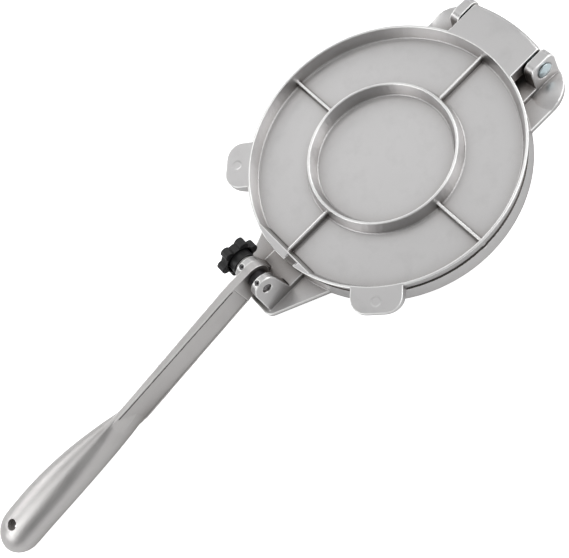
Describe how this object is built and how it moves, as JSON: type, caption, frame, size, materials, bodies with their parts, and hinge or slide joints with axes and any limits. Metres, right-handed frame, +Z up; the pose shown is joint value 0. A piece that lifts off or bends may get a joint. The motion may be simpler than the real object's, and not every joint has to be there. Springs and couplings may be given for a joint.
{
  "type": "tortilla press",
  "caption": "Hand tortilla press in cast aluminium: two round ribbed plates on a rear hinge, a long lever with a hollow grip on a front clevis, and a black star knob.",
  "frame": {"origin": "centre of the upper plate's tray floor, inside its ring", "axes": "+X towards the side without the knob, +Y towards the plate hinge, +Z up; the lever lies towards -Y"},
  "size_m": [0.201, 0.5163, 0.0466],
  "materials": {
    "cast_aluminium": "satin tumbled casting",
    "zinc_steel": "blue zinc plate",
    "plain_steel": "turned",
    "dark_steel": "blackened",
    "bronze": "turned",
    "black_plastic": "moulded",
    "black_rubber": "moulded"
  },
  "bodies": {
    "base": {"base_plate": "cast_aluminium", "hinge_pins": "zinc_steel", "hinge_washers": "zinc_steel", "pivot_bolt": "plain_steel", "lever_bush": "bronze", "lever_spacer": "plain_steel", "grub_screws": "dark_steel", "knob_washer": "plain_steel", "rubber_feet": "black_rubber", "foot_screws": "zinc_steel"},
    "upper": {"upper_plate": "cast_aluminium"},
    "lever": {"lever": "cast_aluminium"},
    "knob": {"star_knob": "black_plastic", "knob_insert": "bronze"}
  },
  "joints": [
    {"name": "plate_hinge", "type": "hinge", "parent": "base", "child": "upper", "pos_m": [0, 0.1149, 0.0015], "axis": [-1, 0, 0], "range_deg": [0, 108]},
    {"name": "lever_pivot", "type": "hinge", "parent": "base", "child": "lever", "pos_m": [-0.0031, -0.1219, 0.009], "axis": [-1, 0, 0], "range_deg": [0, 147]},
    {"name": "knob_turn", "type": "hinge", "parent": "base", "child": "knob", "pos_m": [-0.02, -0.1219, 0.009], "axis": [-1, 0, 0], "range_deg": [0, 540]}
  ]
}
